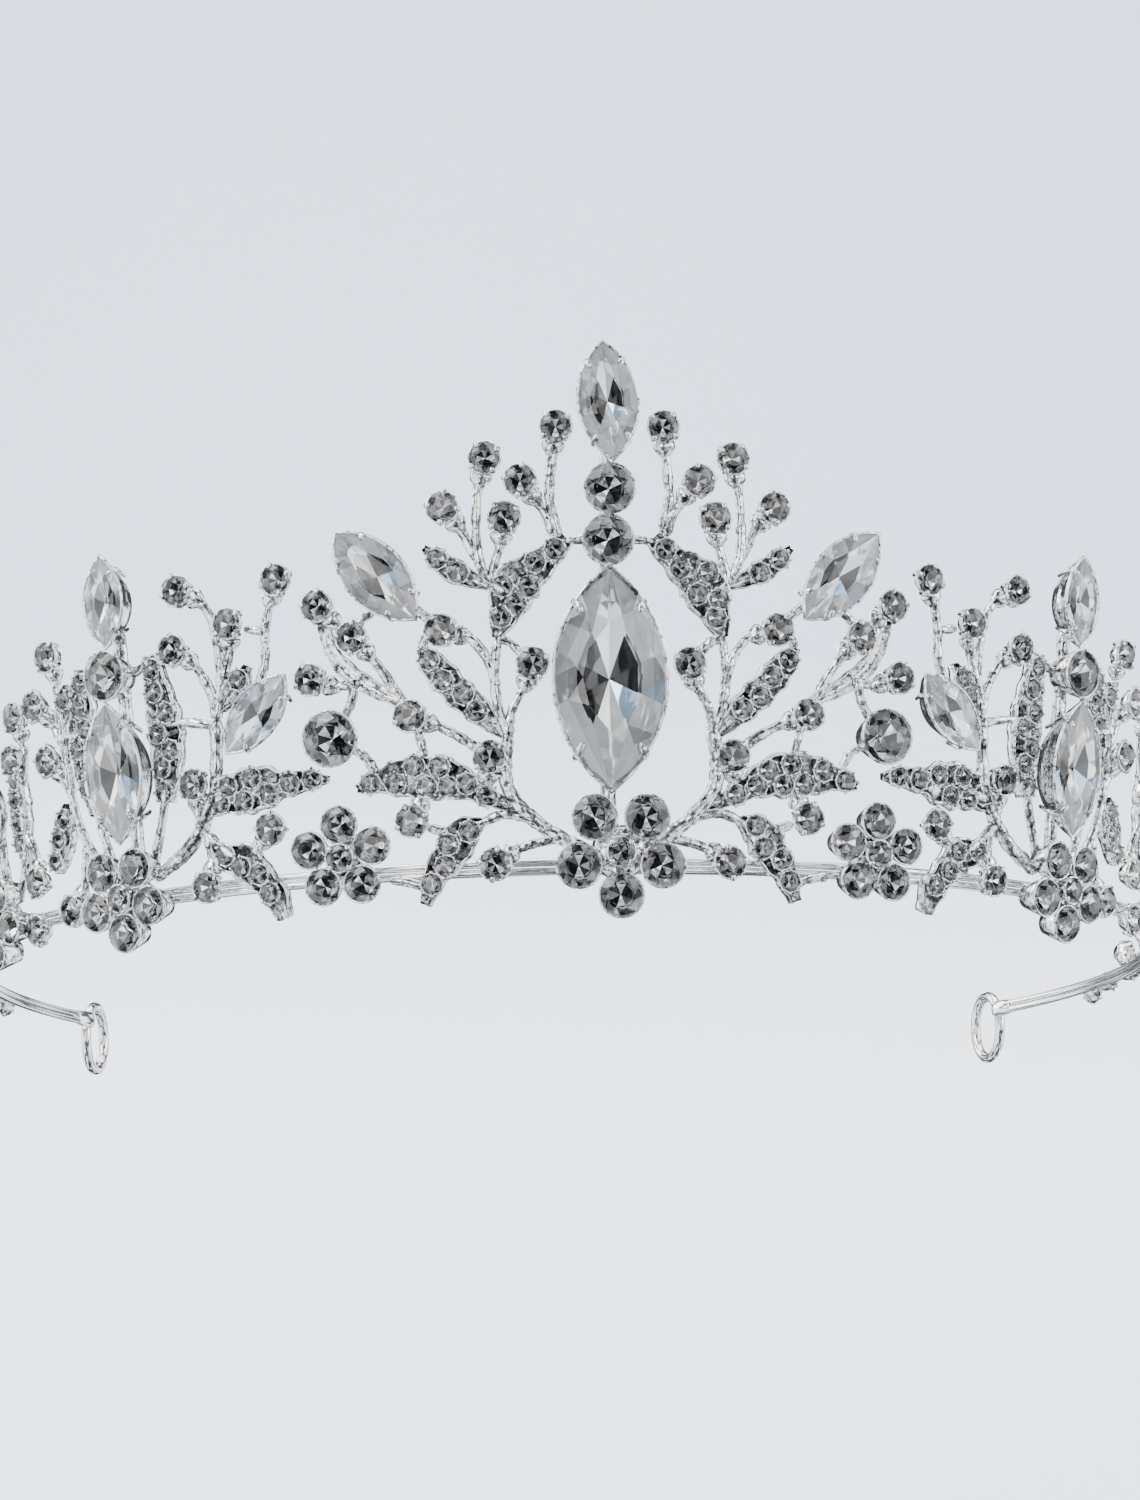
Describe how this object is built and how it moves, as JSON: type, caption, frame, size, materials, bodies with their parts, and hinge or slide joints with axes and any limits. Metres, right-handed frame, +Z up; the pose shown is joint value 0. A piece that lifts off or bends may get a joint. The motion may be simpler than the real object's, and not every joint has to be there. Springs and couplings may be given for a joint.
{
  "type": "bridal tiara",
  "caption": "Open C-shaped tiara: a slim wire band with an eye at each end for a hair grip, carrying cast openwork sprays set with faceted stones, tallest at the centre front.",
  "frame": {"origin": "under the middle of the whole tiara, on the surface it stands on", "axes": "+X to the wearer's left, +Y to the rear, +Z up; the front faces -Y"},
  "size_m": [0.16, 0.127, 0.0605],
  "materials": {
    "band_wire": "bright silver plating on smooth drawn wire",
    "casting": "bright silver plating on a lightly granular cast surface",
    "crystal": "clear faceted glass with a silver foil back"
  },
  "bodies": {
    "root": {"band_wire_upper": "band_wire", "band_wire_lower": "band_wire", "end_loop_left": "band_wire", "end_loop_right": "band_wire", "centre_casting": "casting", "flower_setting_left": "casting", "flower_setting_right": "casting", "side_casting_left": "casting", "side_casting_right": "casting", "end_casting_left": "casting", "end_casting_right": "casting", "rear_casting_left": "casting", "rear_casting_right": "casting", "centre_marquise": "crystal", "top_marquise": "crystal", "upper_chaton": "crystal", "lower_chaton": "crystal", "centre_petal_1": "crystal", "centre_petal_2": "crystal", "centre_petal_3": "crystal", "centre_petal_4": "crystal", "centre_petal_5": "crystal", "wing_marquise_left": "crystal", "wing_marquise_right": "crystal", "round_chaton_left": "crystal", "round_chaton_right": "crystal", "spray_marquise_left": "crystal", "spray_marquise_right": "crystal", "side_top_marquise_left": "crystal", "side_top_marquise_right": "crystal", "side_chaton_left": "crystal", "side_chaton_right": "crystal", "side_marquise_left": "crystal", "side_marquise_right": "crystal", "end_marquise_left": "crystal", "end_marquise_right": "crystal", "end_chaton_left": "crystal", "end_chaton_right": "crystal", "small_petal_left_1": "crystal", "small_petal_left_2": "crystal", "small_petal_left_3": "crystal", "small_petal_left_4": "crystal", "small_petal_left_5": "crystal", "small_petal_right_1": "crystal", "small_petal_right_2": "crystal", "small_petal_right_3": "crystal", "small_petal_right_4": "crystal", "small_petal_right_5": "crystal", "side_petal_left_1": "crystal", "side_petal_left_2": "crystal", "side_petal_left_3": "crystal", "side_petal_left_4": "crystal", "side_petal_left_5": "crystal", "side_petal_right_1": "crystal", "side_petal_right_2": "crystal", "side_petal_right_3": "crystal", "side_petal_right_4": "crystal", "side_petal_right_5": "crystal"}
  },
  "joints": []
}
